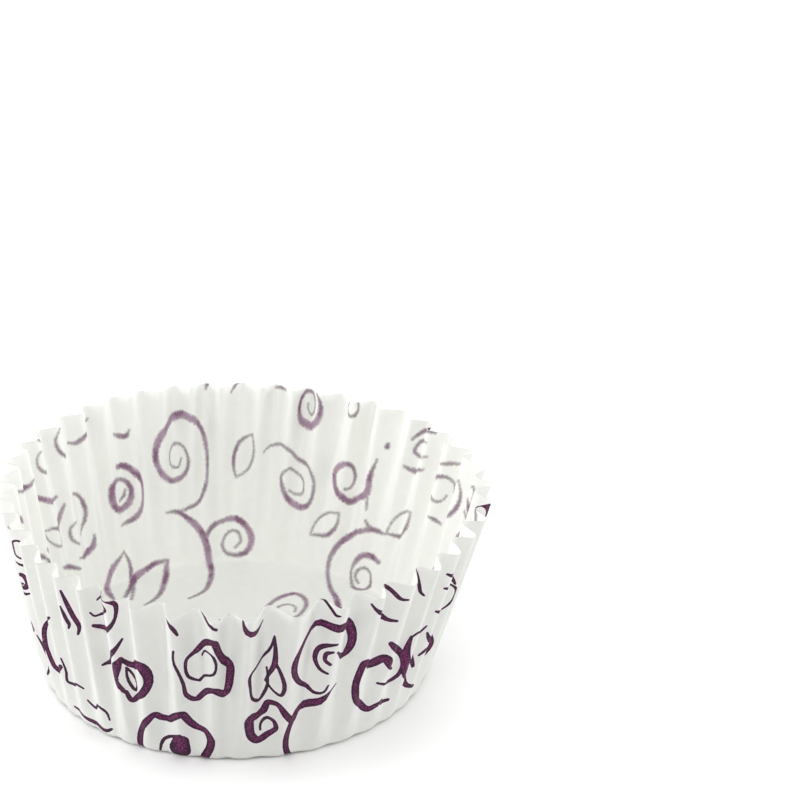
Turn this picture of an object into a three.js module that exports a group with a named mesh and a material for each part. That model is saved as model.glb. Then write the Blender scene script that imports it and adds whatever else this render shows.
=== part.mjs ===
// Paper baking cup: one disc of greaseproof paper pressed into a shallow round cup with a fluted wall.
// Lengths are in millimetres and +Z is up. The origin is the centre of the base's underside.
import * as THREE from 'three';
import { ParametricGeometry } from 'three/addons/geometries/ParametricGeometry.js';
import { mergeVertices } from 'three/addons/utils/BufferGeometryUtils.js';

// Driving dimensions
const BASE_DIAMETER = 50; // flat base, out to the corner where the wall turns up
const RIM_DIAMETER = 60; // rim, along the middle of the flutes' depth
const HEIGHT = 24.7; // rim above the table, along the middle of the flutes' depth
const RIM_SHIFT = 1.1; // how far the soft wall leans over to +X at the rim
const PAPER_THICKNESS = 0.06;
const CORNER_RADIUS = 0.8; // bend between the base and the wall
const FLUTE_COUNT = 42;
const FLANK_STRAIGHTNESS = 1.6; // 0 is a soft wave, and 3 or more is a sharp zigzag

// Fineness of the faceted sheet
const STEPS_PER_FLUTE = 8;
const SAMPLES_PER_STEP = 12;
const CORNER_STEPS = 2;
const WALL_STEPS = 4;

// Finish of greaseproof paper
const PAPER_COLOUR = 0xe7e6e1;
const PAPER_ROUGHNESS = 0.7;

// Section through the middle of the sheet, without its flutes
const baseRadius = BASE_DIAMETER / 2;
const wallRun = (RIM_DIAMETER - BASE_DIAMETER) / 2;
const wallAngle = Math.atan2(HEIGHT, wallRun);
const cornerSetback = CORNER_RADIUS * Math.tan(wallAngle / 2);
const flatRadius = baseRadius - cornerSetback;
const cornerLength = CORNER_RADIUS * wallAngle;
const wallStart = flatRadius + cornerLength;
const wallLength = Math.hypot(wallRun, HEIGHT) - cornerSetback;

/**
 * Finds where a ring of the flat disc lies in the pressed cup.
 * reach is the ring's radius on the flat disc. The result is the ring's mean radius and height in the
 * cup, and the angle by which the section has turned up from the base there.
 */
function sectionAt(reach) {
  if (reach <= flatRadius) {
    return { radius: reach, height: 0, turn: 0 };
  }
  const turn = Math.min((reach - flatRadius) / CORNER_RADIUS, wallAngle);
  const climb = Math.max(reach - wallStart, 0);
  return {
    radius: flatRadius + CORNER_RADIUS * Math.sin(turn) + climb * Math.cos(wallAngle),
    height: CORNER_RADIUS * (1 - Math.cos(turn)) + climb * Math.sin(wallAngle),
    turn,
  };
}

/** Gives the slope of the paper along one flute as a share of its steepest: straight flanks, round crests. */
function slopeShare(phase) {
  return Math.tanh(FLANK_STRAIGHTNESS * Math.sin(phase)) / Math.tanh(FLANK_STRAIGHTNESS);
}

// The slope shares of one flute, sampled evenly along its paper, from one crest to the next
const sampleCount = STEPS_PER_FLUTE * SAMPLES_PER_STEP;
const slopeShares = Array.from({ length: sampleCount }, (_, index) => {
  return slopeShare((2 * Math.PI * (index + 0.5)) / sampleCount);
});

/** Gives the length of wall that one unit of paper covers when its flanks swing by an angle. */
function coverageOf(swing) {
  const total = slopeShares.reduce((sum, share) => sum + Math.cos(swing * share), 0);
  return total / sampleCount;
}

/** Finds the flank angle that gathers the paper down to a share of its flat length. */
function swingFor(coverage) {
  let low = 0;
  let high = Math.PI / 2;
  while (high - low > 1e-9) {
    const middle = (low + high) / 2;
    if (coverageOf(middle) > coverage) {
      low = middle;
    } else {
      high = middle;
    }
  }
  return (low + high) / 2;
}

/**
 * Works out one flute on a ring of the sheet, where all the ring's paper has to fit round the wall.
 * reach is the ring's radius on the flat disc. The result has one entry for each step of the flute:
 * along is the share of the flute's pitch that is covered, and out is how far the paper stands proud of
 * the mean wall.
 */
function fluteAt(reach) {
  const { radius } = sectionAt(reach);
  const coverage = Math.min(radius / reach, 1);
  const swing = swingFor(coverage);
  const paper = (2 * Math.PI * reach) / FLUTE_COUNT;
  const along = [0];
  const out = [0];
  slopeShares.forEach((share) => {
    along.push(along.at(-1) + Math.cos(swing * share) / (sampleCount * coverage));
    out.push(out.at(-1) - (Math.sin(swing * share) * paper) / sampleCount);
  });
  const middle = (Math.max(...out) + Math.min(...out)) / 2;
  return Array.from({ length: STEPS_PER_FLUTE }, (_, step) => ({
    along: along[step * SAMPLES_PER_STEP],
    out: out[step * SAMPLES_PER_STEP] - middle,
  }));
}

// Rings of the sheet from its centre to the rim, closer together low on the wall, where the flutes start
const rings = [0, flatRadius];
for (let step = 1; step <= CORNER_STEPS; step += 1) {
  rings.push(flatRadius + (cornerLength * step) / CORNER_STEPS);
}
for (let step = 1; step <= WALL_STEPS; step += 1) {
  rings.push(wallStart + wallLength * (step / WALL_STEPS) ** 2);
}

const columnCount = FLUTE_COUNT * STEPS_PER_FLUTE;
const fluteOnRing = rings.map((reach) => (reach <= flatRadius ? null : fluteAt(reach)));

/** Places a point of the sheet's middle surface, by its ring and its column round the cup. */
function sheetPoint(ring, column) {
  const { radius, height, turn } = sectionAt(rings[ring]);
  const wrapped = (column + columnCount) % columnCount;
  const flute = Math.floor(wrapped / STEPS_PER_FLUTE);
  const step = wrapped % STEPS_PER_FLUTE;
  const fold = fluteOnRing[ring]?.[step] ?? { along: step / STEPS_PER_FLUTE, out: 0 };
  const angle = (2 * Math.PI * (flute + fold.along)) / FLUTE_COUNT;
  const reach = radius + fold.out * Math.sin(turn);
  return new THREE.Vector3(
    reach * Math.cos(angle) + (RIM_SHIFT * height) / HEIGHT,
    reach * Math.sin(angle),
    PAPER_THICKNESS / 2 + height - fold.out * Math.cos(turn),
  );
}

/** Gives the outward direction square to the sheet at a point. The flat base faces straight down. */
function sheetNormal(ring, column) {
  if (rings[ring] <= flatRadius) {
    return new THREE.Vector3(0, 0, -1);
  }
  const round = sheetPoint(ring, column + 1).sub(sheetPoint(ring, column - 1));
  const upper = Math.min(ring + 1, rings.length - 1);
  const rise = sheetPoint(upper, column).sub(sheetPoint(ring - 1, column));
  return round.cross(rise).normalize();
}

/** Wraps both faces of the sheet in one closed surface: out under the base to the rim, and back inside. */
function buildCup() {
  const faceRings = rings.length;
  const stacks = 2 * faceRings - 1;
  const placePoint = (around, across, point) => {
    const column = Math.round(around * columnCount);
    const row = Math.round(across * stacks);
    const outside = row < faceRings;
    const ring = outside ? row : stacks - row;
    const offset = (outside ? 1 : -1) * (PAPER_THICKNESS / 2);
    point.copy(sheetPoint(ring, column)).addScaledVector(sheetNormal(ring, column), offset);
  };
  const surface = new ParametricGeometry(placePoint, columnCount, stacks);
  surface.deleteAttribute('normal');
  surface.deleteAttribute('uv');
  const closed = mergeVertices(surface);
  closed.computeVertexNormals();
  return closed;
}

const paper = new THREE.MeshStandardMaterial({
  name: 'greaseproof_paper',
  color: PAPER_COLOUR,
  roughness: PAPER_ROUGHNESS,
  metalness: 0,
});
const cup = new THREE.Mesh(buildCup(), paper);
cup.name = 'paper_cup';

const group = new THREE.Group();
group.name = 'paper_baking_cup';
group.add(cup);

export default group;
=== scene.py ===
"""Looks of a paper baking cup: greaseproof paper, pressed into flutes and printed with purple scrolls."""

import logging
import math
from dataclasses import dataclass, field
from enum import Enum

import bpy
import numpy as np
from mathutils import Matrix, Vector
from mathutils.geometry import delaunay_2d_cdt


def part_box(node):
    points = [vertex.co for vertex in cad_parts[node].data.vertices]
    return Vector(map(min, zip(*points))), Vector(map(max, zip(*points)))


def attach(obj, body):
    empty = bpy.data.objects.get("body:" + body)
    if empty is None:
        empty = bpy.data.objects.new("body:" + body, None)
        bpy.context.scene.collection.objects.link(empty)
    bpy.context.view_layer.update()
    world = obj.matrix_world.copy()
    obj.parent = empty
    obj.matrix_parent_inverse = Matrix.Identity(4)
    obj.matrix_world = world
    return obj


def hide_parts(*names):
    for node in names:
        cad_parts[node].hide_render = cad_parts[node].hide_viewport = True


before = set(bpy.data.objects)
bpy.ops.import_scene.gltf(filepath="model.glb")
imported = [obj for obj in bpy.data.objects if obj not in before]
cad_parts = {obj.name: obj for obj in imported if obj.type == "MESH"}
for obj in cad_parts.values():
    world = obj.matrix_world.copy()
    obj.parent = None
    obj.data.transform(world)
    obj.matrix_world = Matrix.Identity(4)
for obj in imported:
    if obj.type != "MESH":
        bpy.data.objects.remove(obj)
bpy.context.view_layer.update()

LOG = logging.getLogger("paper_cup")
MM = 0.001
FULL_TURN = 2.0 * math.pi
TINY = 1e-9  # a length too short to divide by, in millimetres

Colour = tuple[float, float, float, float]
Point = tuple[float, float]
Socket = bpy.types.NodeSocket
WHITE: Colour = (1.0, 1.0, 1.0, 1.0)


def linear(red: int, green: int, blue: int) -> Colour:
    """Turns a screen colour into the linear colour that a shader takes.

    Args:
        red: Red, from 0 to 255.
        green: Green, from 0 to 255.
        blue: Blue, from 0 to 255.

    Returns:
        The linear colour, with an alpha of 1.
    """
    channels = []
    for level in (red, green, blue):
        share = level / 255.0
        channels.append(share / 12.92 if share <= 0.04045 else ((share + 0.055) / 1.055) ** 2.4)
    return (channels[0], channels[1], channels[2], 1.0)


def circle(reach: float, bearing: np.ndarray) -> np.ndarray:
    """Places points on a circle round the disc's centre.

    Args:
        reach: The circle's radius.
        bearing: The points' bearings, in radians.

    Returns:
        The points, a row each.
    """
    return reach * np.stack([np.cos(bearing), np.sin(bearing)], axis=1)


def add_object(name: str, data: bpy.types.ID) -> bpy.types.Object:
    """Adds an object to the scene.

    Args:
        name: The object's name.
        data: Its mesh, lamp or camera.

    Returns:
        The object.
    """
    thing = bpy.data.objects.new(name, data)
    bpy.context.scene.collection.objects.link(thing)
    return thing


# The pressed sheet


@dataclass(frozen=True)
class FluteCurves:
    """Curves of one flute, from crest to crest, for every angle that its flanks can swing to.

    Attributes:
        straightness: 0 is a soft wave, and 3 or more is a sharp zigzag.
        swings: How many flank angles are worked out.
        samples: How many steps along the paper each curve has.
        widest: The largest flank angle, in radians.
    """

    straightness: float
    swings: int = 241
    samples: int = 240
    widest: float = 1.45

    def tables(self) -> tuple[np.ndarray, np.ndarray]:
        """Works out the curves for one unit of paper.

        Returns:
            How far along the wall the paper is after each step, and how far out of it: a row per flank angle.
        """
        phase = FULL_TURN * (np.arange(self.samples) + 0.5) / self.samples
        slope = np.tanh(self.straightness * np.sin(phase)) / math.tanh(self.straightness)
        angle = np.linspace(0.0, self.widest, self.swings)[:, None] * slope[None, :]
        nothing = np.zeros((self.swings, 1))
        along = np.hstack([nothing, np.cumsum(np.cos(angle), axis=1) / self.samples])
        out = np.hstack([nothing, -np.cumsum(np.sin(angle), axis=1) / self.samples])
        return along, out


@dataclass(frozen=True)
class Bulge:
    """One way in which the rim is out of round.

    Attributes:
        lobes: How many times it stands out in a full turn.
        size: How far it stands out, in millimetres.
        bearing: Where it stands out most, in degrees.
    """

    lobes: int
    size: float
    bearing: float


@dataclass(frozen=True)
class Wave:
    """One wave of the rim's height.

    Attributes:
        lobes: How many times it rises in a full turn.
        share: Its height, as a share of the rim's rise and fall.
        phase: Its phase at +X, in radians.
    """

    lobes: float
    share: float
    phase: float


@dataclass(frozen=True)
class Unevenness:
    """How far soft paper strays from the even flutes of its die. Lengths are in millimetres.

    Attributes:
        paper: Spread of the paper that the flutes take, as a share of one flute's.
        wall: Spread of the flutes' pitch, as a share of it.
        widest_draw: The largest stray that a draw gives, in spreads.
        lean: Most that a trough stands off the middle of its flute, as a share of the pitch.
        front_crests: Bearings of the rim's crests along the front, in degrees.
        bulges: How the rim is out of round.
        spring: How far the rim springs outwards.
        sag: How far the rim sinks.
        rim_wave: How far the rim rises and falls.
        waves: The waves in which it does so.
        opened: Depth of the flutes, as a share of what they would have if no paper gave.
        faint: Depth of the flutes at the base's edge, as a share of their depth higher up.
        grown: Climb over which the flutes reach their full depth.
        base_fold: Height of the folds that run in over the base.
        fold_start: Radius at which these folds start.
        seed: Seed of the flutes' random draws.
    """

    paper: float = 0.05
    wall: float = 0.09
    widest_draw: float = 1.6
    lean: float = 0.13
    front_crests: tuple[float, ...] = (240.8, 247.9, 257.1, 266.7, 274.3, 284.8, 295.5, 305.4, 314.6, 323.3)
    bulges: tuple[Bulge, ...] = (Bulge(2, 0.38, 124.0), Bulge(3, 0.66, 22.6), Bulge(7, 0.08, 10.0))
    spring: float = 0.6
    sag: float = 0.3
    rim_wave: float = 0.10
    waves: tuple[Wave, ...] = (Wave(4.0, 1.0, 1.0), Wave(9.0, 0.6, 0.3))
    opened: float = 0.80
    faint: float = 0.40
    grown: float = 4.0
    base_fold: float = 0.16
    fold_start: float = 17.7
    seed: int = 7


@dataclass
class PressedSheet:
    """One disc of paper in the shape that the fluted die gives it. Lengths are in millimetres.

    Attributes:
        base_diameter: Flat base, out to the corner where the wall turns up.
        rim_diameter: Rim, along the middle of the flutes' depth.
        height: Rim above the table, along the middle of the flutes' depth.
        rim_shift: How far the soft wall leans over to +X at the rim.
        thickness: The paper's thickness.
        corner_radius: Bend between the base and the wall.
        flutes: Number of flutes round the wall.
        straightness: Straightness of the flutes' flanks.
        past_rim: How far up the wall points still move, where 1 is the rim.
        probe: Half the distance over which the sheet's directions are measured.
        crease_foot: Climb up the wall, from 0 to 1, at which the folds' lines, painted lighter as whitened
            fibres and as a highlight, are full.
        crease_power: How narrow the folds' lines are.
        uneven: How uneven the flutes are.
    """

    base_diameter: float = 50.0
    rim_diameter: float = 60.0
    height: float = 24.7
    rim_shift: float = 1.05
    thickness: float = 0.06
    corner_radius: float = 0.8
    flutes: int = 42
    straightness: float = 2.3
    past_rim: float = 1.2
    probe: float = 0.02
    crease_foot: float = 0.25
    crease_power: int = 6
    uneven: Unevenness = field(default_factory=Unevenness)

    def __post_init__(self) -> None:
        """Works out the section, the flute curves and the edges of each flute."""
        run = (self.rim_diameter - self.base_diameter) / 2.0
        self.wall_angle = math.atan2(self.height, run)
        setback = self.corner_radius * math.tan(self.wall_angle / 2.0)
        self.flat_radius = self.base_diameter / 2.0 - setback
        self.wall_start = self.flat_radius + self.corner_radius * self.wall_angle
        self.wall_length = math.hypot(run, self.height) - setback
        self.disc_radius = self.wall_start + self.wall_length
        self.curves = FluteCurves(self.straightness)
        self.along_table, self.out_table = self.curves.tables()
        self._set_flute_edges()

    def _set_flute_edges(self) -> None:
        """Draws each flute's share of the paper and of the wall, and the lean of its trough."""
        uneven = self.uneven
        draw = np.random.default_rng(uneven.seed)
        most = uneven.widest_draw
        seen = np.diff(np.radians(uneven.front_crests))
        unseen = self.flutes - len(seen)
        pitch = 1.0 + uneven.wall * np.clip(draw.standard_normal(unseen), -most, most)
        pitch = np.concatenate([seen, pitch * (FULL_TURN - seen.sum()) / pitch.sum()])
        paper = pitch * (1.0 + uneven.paper * np.clip(draw.standard_normal(self.flutes), -most, most))
        paper = paper * FULL_TURN / paper.sum()
        self.lean = uneven.lean * draw.uniform(-1.0, 1.0, self.flutes)
        start = math.radians(uneven.front_crests[0])
        self.wall_edges = start + np.concatenate([[0.0], np.cumsum(pitch)])
        self.paper_edges = start + np.concatenate([[0.0], np.cumsum(paper)])

    def section(self, reach: np.ndarray) -> tuple[np.ndarray, np.ndarray, np.ndarray]:
        """Finds where rings of the flat disc lie in the pressed cup, without the flutes.

        Args:
            reach: The rings' radii on the flat disc.

        Returns:
            Each ring's radius and height, and the angle by which the sheet has turned up there.
        """
        turn = np.clip((reach - self.flat_radius) / self.corner_radius, 0.0, self.wall_angle)
        climb = np.maximum(reach - self.wall_start, 0.0)
        bend = self.corner_radius * np.sin(turn)
        radius = np.minimum(reach, self.flat_radius) + bend + climb * math.cos(self.wall_angle)
        height = self.corner_radius * (1.0 - np.cos(turn)) + climb * math.sin(self.wall_angle)
        return radius, height, turn

    def read_curves(self, coverage: np.ndarray, share: np.ndarray) -> tuple[np.ndarray, np.ndarray]:
        """Reads the flute curves between their steps.

        Args:
            coverage: Length of wall that one unit of paper covers.
            share: Share of the flute's paper that lies before the point.

        Returns:
            How far along the wall and how far out of it the points are, for one unit of paper.
        """
        rows = np.interp(-coverage, -self.along_table[:, -1], np.arange(self.curves.swings))
        columns = np.clip(share, 0.0, 1.0) * self.curves.samples
        row = np.minimum(rows.astype(int), self.curves.swings - 2)
        column = np.minimum(columns.astype(int), self.curves.samples - 1)
        down = rows - row
        across = columns - column
        found = []
        for table in (self.along_table, self.out_table):
            low = table[row, column] * (1.0 - across) + table[row, column + 1] * across
            high = table[row + 1, column] * (1.0 - across) + table[row + 1, column + 1] * across
            found.append(low * (1.0 - down) + high * down)
        return found[0], found[1]

    def flute_of(self, flat: np.ndarray) -> tuple[np.ndarray, np.ndarray, np.ndarray]:
        """Finds the flute that each point of the flat disc belongs to.

        Args:
            flat: Points on the flat disc, a row each.

        Returns:
            The flute's number, the share of its paper before the point, and the climb, which is 1 at the rim.
        """
        start = self.paper_edges[0]
        bearing = start + np.mod(np.arctan2(flat[:, 1], flat[:, 0]) - start, FULL_TURN)
        flute = np.clip(np.searchsorted(self.paper_edges, bearing, side="right") - 1, 0, self.flutes - 1)
        before = self.paper_edges[flute]
        share = (bearing - before) / (self.paper_edges[flute + 1] - before)
        reach = np.hypot(flat[:, 0], flat[:, 1])
        climb = (reach - self.flat_radius) / (self.disc_radius - self.flat_radius)
        return flute, share, np.clip(climb, 0.0, self.past_rim)

    def place(self, flat: np.ndarray) -> np.ndarray:
        """Carries points of the flat disc to the middle of the pressed sheet.

        Args:
            flat: Points on the flat disc, a row each.

        Returns:
            The points' places in the cup, a row each.
        """
        uneven = self.uneven
        reach = np.maximum(np.hypot(flat[:, 0], flat[:, 1]), TINY)
        flute, share, climb = self.flute_of(flat)
        radius, height, turn = self.section(reach)
        first, last = self.paper_edges[flute], self.paper_edges[flute + 1]
        begin = first + (self.wall_edges[flute] - first) * climb
        end = last + (self.wall_edges[flute + 1] - last) * climb
        coverage = np.minimum((end - begin) * radius / ((last - first) * reach), 1.0)
        along, out = self.read_curves(coverage, share)
        _, trough = self.read_curves(coverage, np.full_like(share, 0.5))
        _, usual = self.read_curves(np.minimum(radius / reach, 1.0), np.full_like(share, 0.5))
        sink = np.divide(out, trough, out=np.zeros_like(out), where=trough < -TINY)
        out = out * (last - first) * reach - usual * reach * FULL_TURN / self.flutes / 2.0
        out = out * self._depth_share(reach) - self._base_fold(reach, share)
        across = along / coverage + self.lean[flute] * sink * climb
        bearing = begin + (end - begin) * across
        bulge = sum(each.size * np.cos(each.lobes * (bearing - math.radians(each.bearing)))
                    for each in uneven.bulges)
        lift = sum(each.share * np.sin(each.lobes * bearing + each.phase) for each in uneven.waves)
        spread = radius + out * np.sin(turn) + climb * (uneven.spring + bulge)
        rise = height - out * np.cos(turn) + climb**2 * (uneven.rim_wave * lift - uneven.sag)
        x = spread * np.cos(bearing) + self.rim_shift * height / self.height
        return np.stack([x, spread * np.sin(bearing), self.thickness / 2.0 + rise], axis=1)

    def _depth_share(self, reach: np.ndarray) -> np.ndarray:
        """Says how much of their full depth the flutes have.

        Args:
            reach: Radii on the flat disc.

        Returns:
            The share at each radius.
        """
        grown = np.clip((reach - self.wall_start) / self.uneven.grown, 0.0, 1.0)
        eased = grown * grown * (3.0 - 2.0 * grown)
        return self.uneven.opened * (self.uneven.faint + (1.0 - self.uneven.faint) * eased)

    def _base_fold(self, reach: np.ndarray, share: np.ndarray) -> np.ndarray:
        """Works out the low folds that run from the troughs in over the base.

        Args:
            reach: Radii on the flat disc.
            share: Share of the flute's paper before each point.

        Returns:
            How far the folds stand off the base, or off the foot of the wall.
        """
        start = self.uneven.fold_start
        run_in = np.clip((reach - start) / (self.flat_radius - start), 0.0, 1.0)
        run_out = np.clip(1.0 - (reach - self.wall_start) / self.uneven.grown, 0.0, 1.0)
        return self.uneven.base_fold * run_in * run_out * (0.5 - 0.5 * np.cos(FULL_TURN * share)) ** 2

    def outward(self, flat: np.ndarray) -> np.ndarray:
        """Finds the directions square to the sheet, on the side that is outside the cup.

        Args:
            flat: Points on the flat disc, a row each.

        Returns:
            Unit directions, a row each.
        """
        east = np.array([[self.probe, 0.0]])
        north = np.array([[0.0, self.probe]])
        across = self.place(flat + east) - self.place(flat - east)
        along = self.place(flat + north) - self.place(flat - north)
        normal = np.cross(along, across)
        return normal / np.linalg.norm(normal, axis=1, keepdims=True)

    def whitened_fold_and_highlight(self, flat: np.ndarray) -> np.ndarray:
        """Says how near each point is to the line of a crest or a trough, where the paper is painted lighter:
        partly its whitened fibres, partly a painted highlight.

        Args:
            flat: Points on the flat disc, a row each.

        Returns:
            1 on the line of a fold high on the wall, and 0 between folds and on the base.
        """
        _, share, climb = self.flute_of(flat)
        # This line marks where the folds are painted lighter: partly whitened fibres, partly a painted
        # highlight.
        line = np.abs(np.cos(FULL_TURN * share)) ** self.crease_power
        return np.clip(climb / self.crease_foot, 0.0, 1.0) * line


# The print


LEAST_HALF = 0.02  # half width of the thinnest outline, in millimetres
CAP_STEP = 0.2  # radius of a round end for which it gets two more points, in millimetres
CAP_PAIRS = 3  # most pairs of points on a round end


@dataclass
class Stroke:
    """A pen line of changing width on the flat disc.

    Attributes:
        line: Points along the middle, a row each, in millimetres.
        half: Half the width at each point.
    """

    line: np.ndarray
    half: np.ndarray

    def moved(self, matrix: np.ndarray, shift: np.ndarray, size: float) -> "Stroke":
        """Gives a copy that is turned or mirrored, scaled and moved.

        Args:
            matrix: Two by two matrix of the turn, without the scale.
            shift: Where the stroke's origin goes.
            size: Scale of the line. The pen's width grows half as much.

        Returns:
            The copy.
        """
        return Stroke(self.line @ matrix.T * size + shift, self.half * ((1.0 + size) / 2.0))

    def contour(self, offset: float) -> np.ndarray:
        """Gives the closed outline at an offset from the ink's edge.

        Args:
            offset: How far outside the edge the outline runs, negative for inside.

        Returns:
            The outline's points, a row each.
        """
        ahead = np.gradient(self.line, axis=0)
        ahead = ahead / np.linalg.norm(ahead, axis=1, keepdims=True)
        side = np.stack([-ahead[:, 1], ahead[:, 0]], axis=1)
        reach = np.maximum(self.half + offset, LEAST_HALF)[:, None]
        left = self.line + side * reach
        right = self.line - side * reach
        nose = self._cap(self.line[-1], ahead[-1], side[-1], reach[-1, 0])
        tail = self._cap(self.line[0], -ahead[0], -side[0], reach[0, 0])
        return np.vstack([left, nose, right[::-1], tail])

    @staticmethod
    def _cap(middle: np.ndarray, ahead: np.ndarray, side: np.ndarray, radius: float) -> np.ndarray:
        """Rounds the end of an outline.

        Args:
            middle: The end of the line.
            ahead: Unit direction out of the end.
            side: Unit direction to the outline's last point.
            radius: Radius of the end.

        Returns:
            Points round the end, a row each.
        """
        count = 1 + 2 * min(round(radius / CAP_STEP), CAP_PAIRS)
        bearing = math.pi * (np.arange(count)[:, None] + 1.0) / (count + 1.0)
        return middle + radius * (np.cos(bearing) * side + np.sin(bearing) * ahead)


@dataclass(frozen=True)
class Pen:
    """Draws smooth strokes, whose points lie closer together where the line bends more.

    Attributes:
        turn_step: Most that the line turns from point to point, in radians.
        shortest: Shortest step, in millimetres.
        longest: Longest step, in millimetres.
        samples: Trial points between two given points.
        drop_points: Points along a filled drop.
    """

    turn_step: float = 0.27
    shortest: float = 0.14
    longest: float = 0.75
    samples: int = 24
    drop_points: int = 5

    def stroke(self, points: list[Point], halves: tuple[float, ...]) -> Stroke:
        """Draws a smooth line through points.

        Args:
            points: The points that it passes through.
            halves: Half widths, spread evenly along the line.

        Returns:
            The stroke.
        """
        line = self._smooth(np.array(points, dtype=float))
        step = np.diff(line, axis=0)
        lengths = np.linalg.norm(step, axis=1)
        headings = np.unwrap(np.arctan2(step[:, 1], step[:, 0]))
        kept = [0]
        for index in range(1, len(line) - 1):
            travelled = lengths[kept[-1]:index].sum()
            turned = abs(headings[index] - headings[kept[-1]])
            if travelled >= self.longest or (turned >= self.turn_step and travelled >= self.shortest):
                kept.append(index)
        kept.append(len(line) - 1)
        share = np.concatenate([[0.0], np.cumsum(lengths)]) / lengths.sum()
        width = np.interp(share, np.linspace(0.0, 1.0, len(halves)), halves)
        return Stroke(line[kept], width[kept])

    def _smooth(self, points: np.ndarray) -> np.ndarray:
        """Fills the gaps between points with a smooth curve.

        Args:
            points: The points, a row each.

        Returns:
            Many points of the curve, a row each.
        """
        gaps = np.linalg.norm(np.diff(points, axis=0), axis=1)[:, None]
        slopes = np.diff(points, axis=0) / gaps
        tangents = np.empty_like(points)
        tangents[1:-1] = (slopes[:-1] * gaps[1:] + slopes[1:] * gaps[:-1]) / (gaps[:-1] + gaps[1:])
        tangents[0] = 1.5 * slopes[0] - 0.5 * tangents[1]
        tangents[-1] = 1.5 * slopes[-1] - 0.5 * tangents[-2]
        share = np.linspace(0.0, 1.0, self.samples, endpoint=False)[None, :, None]
        start, end = points[:-1, None, :], points[1:, None, :]
        leave, arrive = tangents[:-1, None, :] * gaps[:, None, :], tangents[1:, None, :] * gaps[:, None, :]
        curve = (start * (1.0 + 2.0 * share) * (1.0 - share) ** 2 + leave * share * (1.0 - share) ** 2
                 + end * share**2 * (3.0 - 2.0 * share) + arrive * share**2 * (share - 1.0))
        return np.vstack([curve.reshape(-1, 2), points[-1:]])

    @staticmethod
    def coil(first: float, step: float, radii: tuple[float, ...]) -> list[Point]:
        """Gives points round a coil about a figure's middle.

        Args:
            first: Bearing of the first point, in degrees.
            step: Degrees from point to point.
            radii: The points' distances from the middle.

        Returns:
            The points.
        """
        bearings = [math.radians(first + index * step) for index in range(len(radii))]
        return [(radius * math.cos(turn), radius * math.sin(turn)) for radius, turn in zip(radii, bearings)]

    def drop(self, start: Point, end: Point, halves: tuple[float, float]) -> Stroke:
        """Draws a filled drop.

        Args:
            start: Middle of its first round end.
            end: Middle of its second round end.
            halves: Radii of the two ends.

        Returns:
            The stroke.
        """
        share = np.linspace(0.0, 1.0, self.drop_points)
        line = np.outer(1.0 - share, start) + np.outer(share, end)
        return Stroke(line, halves[0] * (1.0 - share) + halves[1] * share)


class Motif(Enum):
    """The figures of the scroll print, by the names of the functions that draw them."""

    BRANCH = "branch"
    VINE = "vine"
    SCROLL = "scroll"
    OPEN_SCROLL = "open_scroll"
    STEMMED_SCROLL = "stemmed_scroll"
    CROOK = "crook"
    TRAILING_SCROLL = "trailing_scroll"
    TWIN_SCROLL = "twin_scroll"
    LEAF = "leaf"
    HANGING_LEAVES = "hanging_leaves"
    PETALS = "petals"
    SPRAY = "spray"
    ROSETTE = "rosette"
    BLOOM = "bloom"
    EYE = "eye"
    BUD = "bud"
    ARCH = "arch"
    TANGLE = "tangle"
    LOOP = "loop"
    CURL = "curl"
    HOOK = "hook"
    WISP = "wisp"
    RIPPLE = "ripple"
    SWISH = "swish"
    DASH = "dash"
    TICK = "tick"
    DOT = "dot"


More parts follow.
